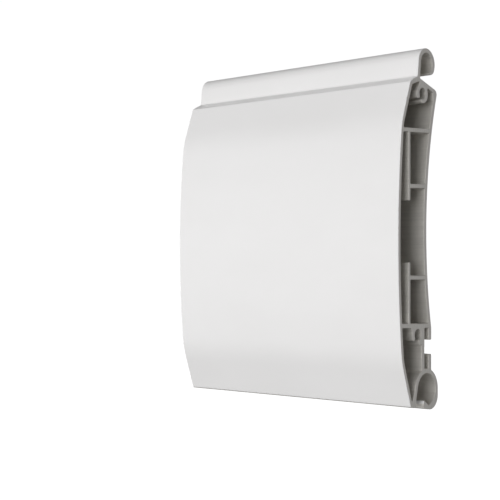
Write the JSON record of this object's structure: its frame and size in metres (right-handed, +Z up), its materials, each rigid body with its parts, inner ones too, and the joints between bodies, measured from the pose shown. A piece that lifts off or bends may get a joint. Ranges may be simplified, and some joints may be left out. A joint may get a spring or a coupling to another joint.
{
  "type": "roller shutter door slat",
  "caption": "Hollow extruded aluminium slat of a roller shutter door, with a hinge hook on top, a hinge socket at the foot and a screwed nylon end lock.",
  "frame": {"origin": "axis of the hinge hook at half the slat's length", "axes": "+X along the slat towards the bare cut end, coated front towards -Y, +Z up"},
  "size_m": [0.0953, 0.022, 0.1109],
  "materials": {
    "coated_aluminium": "white satin powder coat outside, bare at the cut ends and inside",
    "nylon": "moulded, fine matt grain",
    "zinc_steel": "bright zinc plate"
  },
  "bodies": {
    "root": {"slat_extrusion": "coated_aluminium", "end_lock": "nylon", "upper_end_screw": "zinc_steel", "lower_end_screw": "zinc_steel"}
  },
  "joints": []
}
